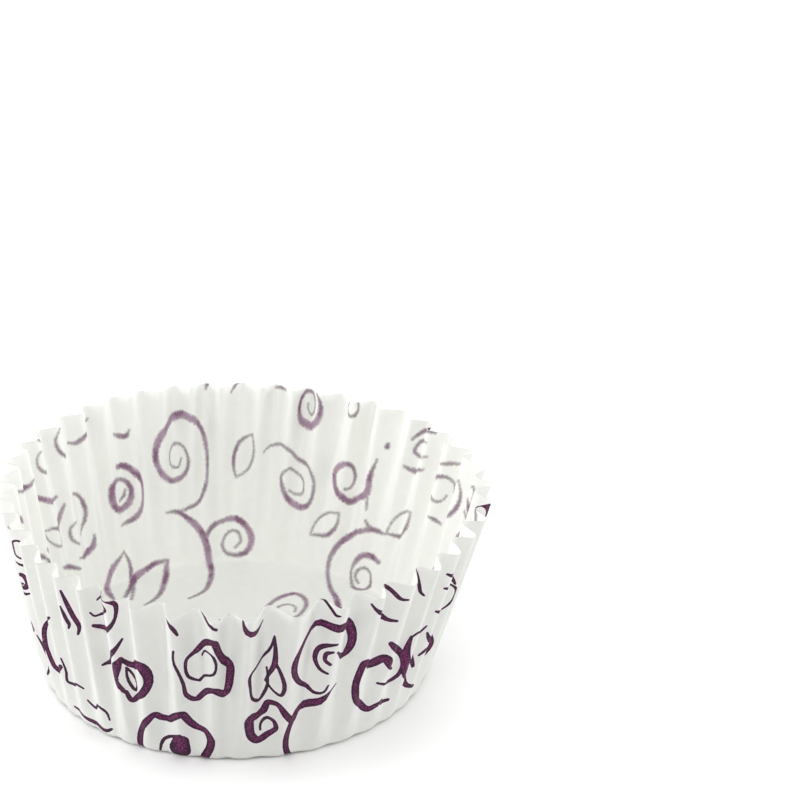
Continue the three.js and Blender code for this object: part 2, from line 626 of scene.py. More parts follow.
@dataclass(frozen=True)
class MotifBook:
    """Draws each figure of the print from the printed side, in millimetres, with the rim up along +Y.

    Attributes:
        pen: The pen that draws the strokes.
    """

    pen: Pen = field(default_factory=Pen)

    def strokes(self, motif: Motif) -> list[Stroke]:
        """Draws a figure.

        Args:
            motif: Which figure.

        Returns:
            Its strokes.
        """
        return getattr(self, motif.value)()

    def branch(self) -> list[Stroke]:
        """Draws a large scroll over a long stem, which carries a small scroll on its side."""
        large = [(1.4, -3.9), (-0.3, -3.1), (-2.0, -2.6), (-3.1, -0.9), (-3.7, 2.0), (-3.7, 4.7), (-3.0, 7.4),
                 (-1.2, 9.1), (0.7, 9.9), (3.2, 9.3), (5.2, 8.1), (6.4, 6.2), (6.6, 4.1), (5.7, 2.2),
                 (4.3, 1.0), (2.3, 0.5), (0.7, 1.5), (0.0, 3.7), (0.9, 5.3), (2.7, 5.6), (3.8, 4.5),
                 (3.4, 2.8), (2.0, 2.3), (1.4, 3.6)]
        stem = [(4.1, -3.7), (1.3, -4.1), (0.0, -4.9), (-1.8, -6.9), (-2.6, -9.1), (-2.7, -11.3),
                (-2.4, -14.0), (-1.5, -16.5), (-0.2, -18.7), (2.3, -20.1)]
        small = [(-2.5, -8.3), (-3.2, -7.1), (-4.5, -6.1), (-5.9, -5.9), (-7.6, -6.4), (-9.0, -7.9),
                 (-9.1, -10.0), (-7.9, -11.3), (-6.5, -11.4), (-5.2, -10.6), (-4.9, -9.3), (-5.4, -8.3),
                 (-6.4, -7.8), (-7.4, -8.3), (-7.6, -9.5), (-6.6, -10.3)]
        return [
            self.pen.stroke(large, (0.18, 0.34, 0.24, 0.30, 0.36, 0.52, 0.60, 0.52, 0.50, 0.42, 0.36, 0.26,
                                    0.20, 0.18, 0.14)),
            self.pen.stroke(stem, (0.12, 0.34, 0.50, 0.52, 0.48, 0.42, 0.36, 0.28, 0.18)),
            self.pen.stroke(small, (0.28, 0.32, 0.38, 0.48, 0.48, 0.36, 0.24, 0.20, 0.20, 0.16)),
        ]

    def vine(self) -> list[Stroke]:
        """Draws an angular scroll over a thick stem with a small scroll at its left."""
        small = [(-0.6, -4.1), (-1.2, -5.6), (-2.4, -4.2), (-4.1, -2.4), (-5.3, -2.8), (-5.7, -4.4),
                 (-6.5, -5.1), (-7.7, -5.2), (-7.3, -6.8), (-6.4, -8.5), (-5.3, -9.2), (-4.2, -7.9),
                 (-3.4, -6.4), (-4.0, -5.4), (-4.8, -5.3), (-5.5, -6.5), (-5.3, -7.6)]
        stem = [(5.9, -1.7), (4.1, -1.5), (2.6, -2.8), (0.8, -3.5), (-0.6, -4.1), (-1.5, -6.2), (-1.7, -8.2),
                (-1.4, -10.2), (-0.4, -12.5)]
        large = [(3.6, 0.0), (3.0, -1.2), (1.6, -1.5), (0.1, -0.4), (-1.6, 1.3), (-2.8, 3.5), (-2.9, 5.9),
                 (-2.0, 8.0), (-0.4, 9.3), (2.4, 9.8), (5.2, 9.7), (7.4, 8.3), (8.6, 5.8), (8.2, 3.7),
                 (7.2, 2.6), (5.7, 3.9), (4.5, 5.6)]
        hook = [(4.3, 7.1), (2.7, 6.6), (1.2, 5.4), (1.0, 3.9), (1.9, 2.6), (3.4, 2.1)]
        core = [(3.9, 5.8), (2.8, 5.2), (2.7, 4.3), (3.6, 3.7)]
        return [
            self.pen.stroke(small, (0.34, 0.44, 0.44, 0.42, 0.62, 0.80, 0.64, 0.48, 0.36, 0.26, 0.16)),
            self.pen.stroke(stem, (0.12, 0.34, 0.62, 0.66, 0.52, 0.46, 0.44, 0.40, 0.40)),
            self.pen.stroke(large, (0.12, 0.28, 0.34, 0.46, 0.50, 0.50, 0.52, 0.66, 0.78, 0.78, 0.62, 0.42,
                                    0.16)),
            self.pen.stroke(hook, (0.20, 0.38, 0.44, 0.36, 0.20)),
            self.pen.stroke(core, (0.20, 0.42, 0.28)),
        ]

    def scroll(self) -> list[Stroke]:
        """Draws a spiral that is thickest along its foot."""
        radii = (3.3, 3.3, 3.2, 3.1, 3.1, 3.0, 2.8, 2.5, 2.2, 1.9, 1.6, 1.35, 1.1, 0.9, 0.8)
        coil = self.pen.coil(70.0, 45.0, radii)
        return [self.pen.stroke(coil, (0.14, 0.34, 0.56, 0.64, 0.52, 0.36, 0.28, 0.22, 0.15))]

    def open_scroll(self) -> list[Stroke]:
        """Draws a bold arc round a thin loop."""
        bow = [(0.2, 3.2), (2.4, 3.6), (3.7, 2.6), (3.5, 0.8), (1.6, -1.9), (-0.8, -3.5), (-2.9, -2.9)]
        loop = [(-3.2, -0.7), (-2.4, -1.5), (-1.2, -1.3), (0.6, 0.3), (2.3, 2.0), (1.6, 2.9), (-0.3, 2.1),
                (-1.8, 0.9)]
        return [
            self.pen.stroke(bow, (0.30, 0.44, 0.36, 0.24, 0.30, 0.46, 0.42, 0.26)),
            self.pen.stroke(loop, (0.14, 0.20, 0.22, 0.20, 0.18, 0.14)),
        ]

    def stemmed_scroll(self) -> list[Stroke]:
        """Draws a spiral at the end of a thin swinging stem."""
        line = [(7.5, 3.9), (5.8, 5.0), (3.9, 5.7), (2.6, 5.3), (0.1, 3.7), (-2.3, 3.1), (-3.2, 1.7),
                (-3.3, -0.3), (-2.5, -2.3), (-0.7, -2.9), (1.2, -2.0), (2.6, -0.3), (3.1, 1.5), (2.1, 2.6),
                (0.4, 1.9), (-1.3, 0.6), (-1.2, -0.8), (0.0, -1.2), (1.4, -0.6)]
        return [self.pen.stroke(line, (0.14, 0.24, 0.26, 0.30, 0.22, 0.26, 0.48, 0.36, 0.20, 0.18, 0.20,
                                       0.14))]

    def crook(self) -> list[Stroke]:
        """Draws a wide crook with a thorn, and a squarish scroll in its bend."""
        bow = [(-3.3, -9.3), (-0.8, -6.7), (1.0, -5.5), (2.8, -3.8), (4.2, -2.2), (4.7, -0.5), (4.4, 1.5),
               (3.6, 3.0), (2.3, 4.2), (1.0, 5.2), (-0.7, 5.9), (-2.5, 6.0), (-4.6, 6.2)]
        inner = [(-3.8, 2.1), (-2.1, 2.3), (-0.4, 2.1), (0.4, 0.9), (0.8, -0.6), (0.1, -2.2), (-1.2, -3.1),
                 (-2.4, -2.6), (-2.8, -1.1), (-2.3, 0.1), (-1.1, 0.5), (-0.1, -0.3), (-0.1, -1.3),
                 (-0.8, -1.8)]
        return [
            self.pen.stroke(bow, (0.44, 0.46, 0.38, 0.30, 0.26, 0.30, 0.36, 0.46, 0.42, 0.36, 0.32, 0.18)),
            self.pen.stroke([(-0.1, 7.2), (-0.9, 6.2), (-2.2, 5.9)], (0.10, 0.34, 0.30)),
            self.pen.stroke(inner, (0.36, 0.44, 0.36, 0.20, 0.20, 0.32, 0.28, 0.20, 0.20, 0.16)),
        ]

    def trailing_scroll(self) -> list[Stroke]:
        """Draws a tall spiral that trails its stem below it."""
        line = [(1.6, -4.7), (2.4, -2.3), (2.6, 0.4), (1.9, 2.8), (1.0, 3.8), (-0.3, 3.6), (-1.5, 2.4),
                (-2.2, 0.0), (-2.1, -1.4), (-1.0, -2.6), (0.6, -2.2), (1.2, -1.1), (1.2, -0.1), (0.3, 0.9),
                (-0.6, 0.8), (-1.3, -0.4)]
        return [self.pen.stroke(line, (0.20, 0.26, 0.30, 0.40, 0.36, 0.28, 0.24, 0.20, 0.18, 0.18, 0.16))]

    def twin_scroll(self) -> list[Stroke]:
        """Draws a spiral whose foot swings on into a rising tail with a spur."""
        line = [(-5.6, 3.8), (-4.7, 1.4), (-4.2, -1.2), (-2.0, -2.1), (-0.2, -3.1), (1.3, -2.5), (3.4, -1.2),
                (4.1, 0.2), (3.2, 1.5), (1.6, 2.4), (0.1, 1.5), (-0.3, 0.1), (0.3, -1.1), (1.2, -1.3)]
        return [
            self.pen.stroke(line, (0.12, 0.42, 0.52, 0.46, 0.46, 0.58, 0.60, 0.34, 0.28, 0.18)),
            self.pen.stroke([(-4.3, -0.8), (-4.4, -3.4)], (0.26, 0.10)),
        ]

    def leaf(self) -> list[Stroke]:
        """Draws the outline of a pointed leaf, one side thicker than the other."""
        left = [(-0.2, -3.8), (-1.7, -1.2), (-1.5, 1.6), (0.5, 3.8)]
        right = [(0.5, 3.8), (1.7, 1.0), (1.4, -1.8), (-0.2, -3.8)]
        return [
            self.pen.stroke(left, (0.14, 0.32, 0.36, 0.26, 0.12)),
            self.pen.stroke(right, (0.12, 0.18, 0.22, 0.18, 0.12)),
        ]

    def hanging_leaves(self) -> list[Stroke]:
        """Draws two long leaves that hang from one thick stalk."""
        stalk = [(0.9, 6.1), (1.2, 3.9), (1.2, 1.9), (0.4, -0.3), (-0.1, -1.5)]
        first = [(0.8, 5.8), (-0.2, 3.0), (-1.6, 2.0), (-3.4, 1.2), (-3.1, -1.5), (-2.3, -3.6), (-0.8, -4.5),
                 (0.1, -2.9), (0.0, 0.7)]
        second = [(1.5, 1.7), (2.3, 0.4), (2.8, -1.9), (2.4, -3.1), (0.3, -2.0), (1.2, 1.4)]
        return [
            self.pen.stroke(stalk, (0.20, 0.38, 0.48, 0.34, 0.14)),
            self.pen.stroke(first, (0.18, 0.22, 0.27, 0.28, 0.24, 0.28, 0.22, 0.14)),
            self.pen.stroke(second, (0.30, 0.34, 0.28, 0.20, 0.22, 0.24)),
        ]

    def petals(self) -> list[Stroke]:
        """Draws two pointed petals whose feet cross."""
        return [
            self.pen.stroke([(-5.4, 2.1), (-3.7, 2.3), (-1.7, 1.9), (0.1, 1.3), (1.4, -0.2), (3.0, -1.5),
                             (5.0, -3.5)],
                            (0.26, 0.38, 0.50, 0.52, 0.36, 0.28, 0.20)),
            self.pen.stroke([(-5.4, 2.1), (-4.4, 0.2), (-2.5, -2.1), (-0.6, -4.1), (1.0, -5.0), (2.7, -5.4)],
                            (0.26, 0.40, 0.42, 0.38, 0.34, 0.28, 0.14)),
            self.pen.stroke([(1.2, 5.5), (0.3, 3.7), (0.3, 1.8), (1.4, -0.5), (3.4, -3.2)],
                            (0.14, 0.30, 0.32, 0.30, 0.24, 0.18)),
            self.pen.stroke([(1.2, 5.5), (2.8, 4.0), (4.0, 2.5), (4.9, 0.4), (5.3, -1.8)],
                            (0.14, 0.38, 0.50, 0.46, 0.24)),
        ]

    def spray(self) -> list[Stroke]:
        """Draws a thick swinging stem between a thin tip and a bold leaf."""
        leaf = [(1.7, 3.0), (2.6, 1.6), (4.7, 1.0), (5.9, -0.4), (6.2, -2.0), (5.2, -3.0), (3.8, -1.8),
                (2.8, 0.1), (1.4, -0.6)]
        stem = [(-3.9, 4.4), (-3.7, 1.7), (-2.5, -0.9), (-0.9, -3.1), (0.7, -5.4), (2.1, -6.1), (4.0, -7.7)]
        return [
            self.pen.stroke([(-4.0, 4.1), (-2.9, 5.3), (-1.7, 4.2), (0.0, 2.9), (1.3, 4.1)],
                            (0.16, 0.22, 0.22, 0.24, 0.16)),
            self.pen.stroke(stem, (0.28, 0.60, 0.84, 0.90, 0.66, 0.36, 0.26, 0.22)),
            self.pen.stroke([(-1.5, 1.6), (-0.1, -0.3), (0.9, -2.3)], (0.26, 0.44, 0.30)),
            self.pen.stroke(leaf, (0.18, 0.44, 0.36, 0.46, 0.58, 0.60, 0.52, 0.44, 0.22)),
        ]

    def rosette(self) -> list[Stroke]:
        """Draws a flick that runs on round a wavy ring and into a thin spiral."""
        line = [(-5.4, 3.6), (-5.3, 1.8), (-4.5, -0.3), (-3.7, -2.4), (-3.1, -4.5), (-1.7, -5.5),
                (-0.8, -4.4), (0.1, -3.2), (1.3, -2.5), (2.3, -3.3), (3.2, -4.0), (3.8, -2.8), (4.2, -1.1),
                (4.4, 0.7), (3.3, 2.1), (2.5, 3.7), (1.5, 6.1), (-0.1, 5.2), (-1.2, 3.8), (-2.1, 2.5),
                (-3.4, 1.6), (-3.5, 0.2), (-2.8, -1.6), (-1.6, -2.3), (-0.3, -0.7), (1.6, 0.7), (1.8, 2.5),
                (1.2, 3.9), (0.0, 3.8), (-0.9, 2.4)]
        return [self.pen.stroke(line, (0.14, 0.22, 0.36, 0.46, 0.62, 0.66, 0.54, 0.42, 0.26, 0.20, 0.20,
                                       0.16))]

    def bloom(self) -> list[Stroke]:
        """Draws a bold wavy ring round a filled drop."""
        ring = [(-4.5, -3.3), (-5.0, -1.2), (-4.8, 1.4), (-4.0, 3.3), (-3.0, 4.5), (-2.0, 3.9), (-1.0, 4.0),
                (0.3, 5.2), (1.5, 6.0), (2.4, 4.4), (3.4, 3.1), (4.6, 2.8), (5.1, 1.4), (4.6, -0.4),
                (3.7, -2.0), (4.0, -4.0), (2.5, -5.6), (0.2, -5.0), (-1.9, -6.0), (-3.5, -4.8)]
        return [
            self.pen.stroke(ring, (0.40, 0.50, 0.50, 0.48, 0.52, 0.56, 0.50, 0.56, 0.58, 0.54, 0.60, 0.62,
                                   0.50)),
            self.pen.drop((0.9, 1.0), (0.6, -0.6), (1.15, 1.50)),
            self.pen.stroke([(1.0, 2.2), (-0.3, 1.4), (-1.7, 0.3), (-2.1, -1.7)], (0.12, 0.24, 0.26, 0.14)),
        ]

    def eye(self) -> list[Stroke]:
        """Draws a bold heart that closes round a slim leaf."""
        right = [(-1.1, 3.6), (0.3, 2.3), (2.8, 3.7), (3.6, 2.3), (3.6, 0.4), (2.5, -1.3), (0.9, -2.7),
                 (-0.1, -3.7), (-0.8, -2.1)]
        left = [(-1.1, 3.6), (-1.9, 2.0), (-2.5, 0.2), (-1.6, -1.3), (-1.0, -2.1)]
        slim = [(-0.5, 2.0), (0.4, 0.5), (1.0, -0.9), (0.4, -1.9), (-0.3, -0.6), (-0.5, 2.0)]
        return [
            self.pen.stroke(right, (0.28, 0.50, 0.70, 0.75, 0.70, 0.60, 0.48, 0.38, 0.28)),
            self.pen.stroke(left, (0.32, 0.74, 0.90, 0.54, 0.30)),
            self.pen.stroke(slim, (0.16, 0.22, 0.26, 0.24, 0.20, 0.16)),
        ]

    def bud(self) -> list[Stroke]:
        """Draws a tall crescent beside a ringed drop."""
        bow = [(0.7, 4.1), (-1.0, 3.9), (-2.5, 2.7), (-3.4, 1.1), (-3.3, -0.8), (-2.4, -2.5), (-0.9, -3.6),
               (1.2, -3.9)]
        ring = [(0.9, 2.4), (-0.4, 2.0), (-1.3, 0.9), (-1.1, -0.6), (0.0, -1.7), (1.3, -1.7), (2.5, -0.7),
                (2.8, 0.9), (2.2, 2.3), (0.9, 2.4)]
        return [
            self.pen.stroke(bow, (0.36, 0.50, 0.46, 0.42, 0.40, 0.38, 0.36, 0.14)),
            self.pen.stroke(ring, (0.22, 0.34, 0.42, 0.46, 0.46, 0.52, 0.60, 0.52, 0.30)),
            self.pen.stroke([(-0.4, 0.7), (0.0, -0.2), (1.0, -0.5)], (0.16, 0.26, 0.20)),
        ]

    def arch(self) -> list[Stroke]:
        """Draws a bold open arch under a long hooked band."""
        bow = [(3.9, -0.6), (1.7, 1.8), (0.4, 3.5), (-1.5, 2.4), (-3.3, 3.4), (-4.9, 4.5), (-5.1, 2.6),
               (-4.8, 0.0), (-3.7, -2.2), (-1.9, -3.7), (-0.2, -5.1), (1.5, -4.4), (2.9, -5.6), (4.0, -5.8)]
        band = [(0.7, 6.0), (2.4, 4.2), (4.0, 2.8), (5.3, 1.3), (5.6, -0.6), (4.8, -2.1), (3.6, -2.6),
                (2.2, -1.5), (0.2, -0.7)]
        return [
            self.pen.stroke(bow, (0.16, 0.40, 0.64, 0.70, 0.62, 0.55, 0.50, 0.52, 0.56, 0.52, 0.48, 0.42,
                                  0.26)),
            self.pen.stroke(band, (0.38, 0.54, 0.54, 0.48, 0.40, 0.32, 0.28, 0.18)),
        ]

    def tangle(self) -> list[Stroke]:
        """Draws a looped line and a bar beside a wide arc."""
        arc = [(2.7, 5.6), (1.4, 4.3), (0.8, 2.1), (1.0, -0.4), (1.5, -2.0), (2.5, -2.5), (3.8, -1.4),
               (5.2, -0.2)]
        loop = [(-2.9, -1.4), (-2.9, 1.2), (-1.9, 2.9), (-0.9, 1.8), (-1.3, -0.9), (-2.0, -3.3)]
        return [
            self.pen.stroke(arc, (0.20, 0.42, 0.46, 0.42, 0.44, 0.48, 0.44, 0.34)),
            self.pen.stroke(loop, (0.30, 0.46, 0.46, 0.44, 0.40, 0.24)),
            self.pen.stroke([(0.4, 1.7), (-0.4, -0.7), (-0.4, -3.1)], (0.30, 0.56, 0.44)),
            self.pen.stroke([(-4.4, 0.2), (-3.1, -2.0), (-2.6, -4.1), (-3.4, -5.9)],
                            (0.14, 0.32, 0.32, 0.18)),
        ]

    def loop(self) -> list[Stroke]:
        """Draws a long loop between two swinging lines."""
        return [
            self.pen.stroke([(-3.7, 3.7), (-0.5, 3.4), (1.5, 2.7), (3.2, 1.1)], (0.20, 0.32, 0.34, 0.24)),
            self.pen.stroke([(-2.6, 2.1), (0.1, 1.6), (2.0, 0.7), (2.3, -0.5), (1.3, -1.1), (-0.9, -0.5),
                             (-3.1, 0.1)],
                            (0.16, 0.22, 0.26, 0.28, 0.24, 0.20, 0.16)),
            self.pen.stroke([(-2.9, -1.8), (-0.7, -2.5), (1.5, -3.3), (3.2, -2.9)], (0.20, 0.34, 0.38, 0.18)),
        ]

    def curl(self) -> list[Stroke]:
        """Draws a thin open curl."""
        coil = self.pen.coil(60.0, 42.0, (2.7, 2.6, 2.5, 2.5, 2.6, 2.4, 2.0, 1.6, 1.3))
        line = [(2.2, 2.8)] + coil
        return [self.pen.stroke(line, (0.12, 0.20, 0.22, 0.30, 0.36, 0.28, 0.20, 0.13))]

    def hook(self) -> list[Stroke]:
        """Draws one curved flick of the pen."""
        line = [(-1.6, 3.6), (0.8, 2.6), (1.4, -0.4), (-0.6, -3.2)]
        return [self.pen.stroke(line, (0.12, 0.26, 0.34, 0.30, 0.12))]

    def wisp(self) -> list[Stroke]:
        """Draws a thin waving line."""
        line = [(-2.2, 3.0), (-1.7, 1.0), (-1.6, -0.8), (-0.4, -0.9), (1.6, 0.5), (2.4, -0.1)]
        return [self.pen.stroke(line, (0.12, 0.20, 0.22, 0.26, 0.24, 0.14))]

    def ripple(self) -> list[Stroke]:
        """Draws a thin line with one wave."""
        line = [(-2.1, 0.4), (-1.1, -0.5), (0.8, 1.0), (1.7, 0.3), (2.0, -1.2)]
        return [self.pen.stroke(line, (0.12, 0.24, 0.26, 0.22, 0.12))]

    def swish(self) -> list[Stroke]:
        """Draws a long slanting stroke."""
        line = [(-4.7, 1.7), (0.0, -0.2), (2.0, -1.1), (3.2, -0.9)]
        return [self.pen.stroke(line, (0.18, 0.34, 0.38, 0.40, 0.20))]

    def dash(self) -> list[Stroke]:
        """Draws a short bold stroke with a bent end."""
        line = [(-2.4, 1.2), (-1.4, -0.5), (0.6, -0.9), (2.6, -0.3)]
        return [self.pen.stroke(line, (0.16, 0.44, 0.50, 0.42, 0.14))]

    def tick(self) -> list[Stroke]:
        """Draws a short slanting stroke."""
        return [self.pen.stroke([(-1.6, 0.8), (0.2, 0.1), (1.6, -0.8)], (0.18, 0.36, 0.22))]

    def dot(self) -> list[Stroke]:
        """Draws a small filled drop."""
        return [self.pen.drop((0.0, 0.5), (0.0, -0.5), (0.40, 0.55))]


@dataclass(frozen=True)
class Spot:
    """Where one figure of the print lies on the flat disc.

    Attributes:
        motif: The figure.
        bearing: Bearing round the disc, in degrees from +X.
        reach: Distance from the disc's centre, in millimetres.
        tilt: Turn of the figure from upright on the wall, in degrees.
        size: Its scale.
        flip: Whether it is mirrored.
    """

    motif: Motif
    bearing: float
    reach: float
    tilt: float = 0.0
    size: float = 1.0
    flip: bool = False


REAR_SPOTS = (
    Spot(Motif.BRANCH, 107.7, 36.2),
    Spot(Motif.BUD, 126.7, 36.3),
    Spot(Motif.PETALS, 126.9, 23.3),
    Spot(Motif.LEAF, 92.1, 39.9, -16.0, 0.90, True),
    Spot(Motif.STEMMED_SCROLL, 76.4, 36.0),
    Spot(Motif.SCROLL, 75.2, 47.6, 35.0, 0.90),
    Spot(Motif.TWIN_SCROLL, 60.0, 38.5),
    Spot(Motif.LEAF, 65.9, 31.5, 53.0, 0.80),
    Spot(Motif.CROOK, 52.8, 26.6),
    Spot(Motif.LEAF, 40.3, 35.4, 52.0, 0.90),
    Spot(Motif.LOOP, 40.0, 46.0),
    Spot(Motif.DOT, 51.0, 44.8, 0.0, 0.40),
    Spot(Motif.CURL, 25.9, 43.4, -60.0, 0.86, True),
    Spot(Motif.TICK, 31.7, 45.8, 14.0, 0.70),
    Spot(Motif.TICK, 25.6, 47.4, 14.0, 0.80),
    Spot(Motif.TICK, 25.5, 39.1, 40.0, 0.62),
    Spot(Motif.LEAF, 18.5, 43.6, 20.0, 0.84),
    Spot(Motif.CURL, 63.6, 49.2, 0.0, 0.56),
    Spot(Motif.TICK, 94.8, 49.6, -10.0, 0.60),
    Spot(Motif.TICK, 83.6, 49.6, 24.0, 0.60),
    Spot(Motif.DASH, 101.0, 50.2, 172.0, 0.70),
    Spot(Motif.DASH, 125.6, 44.9, 8.0, 0.52),
    Spot(Motif.SWISH, 138.3, 46.8, 0.0, 0.75),
    Spot(Motif.HOOK, 145.0, 46.6, -35.0, 0.76),
    Spot(Motif.HOOK, 142.3, 36.4, 2.0, 0.90, True),
    Spot(Motif.HOOK, 146.5, 34.2, -8.0, 0.46),
    Spot(Motif.DASH, 142.2, 31.4, -10.0, 0.84),
    Spot(Motif.TICK, 150.5, 30.2, 51.0, 1.15),
    Spot(Motif.LEAF, 154.0, 35.6, -50.0, 0.64),
    Spot(Motif.TICK, 149.2, 37.2, 84.0, 1.10, True),
    Spot(Motif.CURL, 153.0, 47.2, 20.0, 0.90),
    Spot(Motif.SWISH, 154.0, 41.2, -2.0, 1.10, True),
    Spot(Motif.SWISH, 166.0, 46.0, 12.0, 1.05, True),
    Spot(Motif.BUD, 164.0, 33.0, 40.0, 0.70),
)
FRONT_SPOTS = (
    Spot(Motif.ROSETTE, 264.4, 40.3),
    Spot(Motif.BLOOM, 255.4, 26.8),
    Spot(Motif.EYE, 243.6, 36.5),
    Spot(Motif.HANGING_LEAVES, 279.9, 39.2),
    Spot(Motif.VINE, 289.7, 36.6),
    Spot(Motif.ARCH, 312.3, 34.2),
    Spot(Motif.SPRAY, 327.4, 34.4),
    Spot(Motif.SWISH, 226.0, 43.4, -82.0, 0.90, True),
    Spot(Motif.SWISH, 224.8, 43.0, -80.0, 0.44, True),
    Spot(Motif.DOT, 220.9, 42.0, 0.0, 1.20),
    Spot(Motif.TICK, 220.8, 45.6, 60.0, 0.60),
    Spot(Motif.TICK, 215.8, 40.1, 76.0, 0.80),
    Spot(Motif.SWISH, 238.5, 39.4, -30.0, 1.00, True),
    Spot(Motif.OPEN_SCROLL, 238.0, 46.6),
    Spot(Motif.TANGLE, 208.2, 32.9),
    Spot(Motif.WISP, 221.4, 31.4),
    Spot(Motif.RIPPLE, 230.4, 29.0),
    Spot(Motif.SWISH, 228.4, 26.1, 18.0, 0.88),
    Spot(Motif.DOT, 199.4, 34.7, 0.0, 0.90),
    Spot(Motif.DASH, 195.9, 31.0, 20.0, 0.62),
    Spot(Motif.BUD, 199.6, 41.6, 20.0, 0.46),
    Spot(Motif.TICK, 264.8, 49.4, 4.0, 1.05),
    Spot(Motif.DASH, 275.5, 48.5, -6.0, 0.98),
    Spot(Motif.SWISH, 293.0, 49.2, 0.0, 0.50),
    Spot(Motif.SWISH, 309.0, 45.6, -12.0, 1.10),
    Spot(Motif.SWISH, 311.5, 48.6, -10.0, 0.70),
    Spot(Motif.SWISH, 320.2, 47.4, -38.0, 0.60),
    Spot(Motif.TICK, 332.0, 46.1, 0.0, 0.96),
    Spot(Motif.TICK, 332.2, 44.1, 6.0, 0.80),
    Spot(Motif.TICK, 332.5, 40.1, 0.0, 0.96),
    Spot(Motif.TICK, 338.3, 43.5, -18.0, 0.66),
    Spot(Motif.HOOK, 339.0, 40.4, -10.0, 0.60),
    Spot(Motif.TICK, 344.2, 41.4, -12.0, 1.30),
    Spot(Motif.CURL, 344.5, 37.9, 30.0, 0.74),
    Spot(Motif.DOT, 344.5, 31.4, 0.0, 1.20),
    Spot(Motif.DASH, 345.0, 47.0, -20.0, 0.60),
    Spot(Motif.TICK, 257.3, 48.2, -34.0, 0.84),
    Spot(Motif.STEMMED_SCROLL, 201.0, 46.4, 60.0, 0.56),
)
SIDE_SPOTS = (
    Spot(Motif.ROSETTE, 4.0, 38.6, 30.0, 0.92),
    Spot(Motif.SCROLL, 354.0, 48.0, 100.0, 0.80),
    Spot(Motif.HOOK, 15.5, 33.0, 30.0, 0.94),
    Spot(Motif.HANGING_LEAVES, 10.0, 46.4, 160.0, 0.58),
    Spot(Motif.BRANCH, 182.0, 37.0, 6.0, 0.86),
    Spot(Motif.LEAF, 172.5, 30.6, -30.0, 0.80),
    Spot(Motif.LEAF, 356.0, 29.4, 60.0, 0.80),
)
BASE_SPOTS = (
    Spot(Motif.TRAILING_SCROLL, 63.3, 14.0),
    Spot(Motif.ROSETTE, 210.0, 12.6, 40.0, 0.84),
    Spot(Motif.CROOK, 322.0, 12.6, 10.0, 0.72),
    Spot(Motif.BUD, 14.0, 14.6, 70.0, 0.92, True),
    Spot(Motif.LEAF, 158.0, 13.6, 20.0, 0.88),
    Spot(Motif.HANGING_LEAVES, 266.0, 12.0, 10.0, 0.70),
    Spot(Motif.CURL, 110.0, 6.2, 50.0, 0.92),
    Spot(Motif.HOOK, 180.0, 4.0, 0.0, 0.90),
)


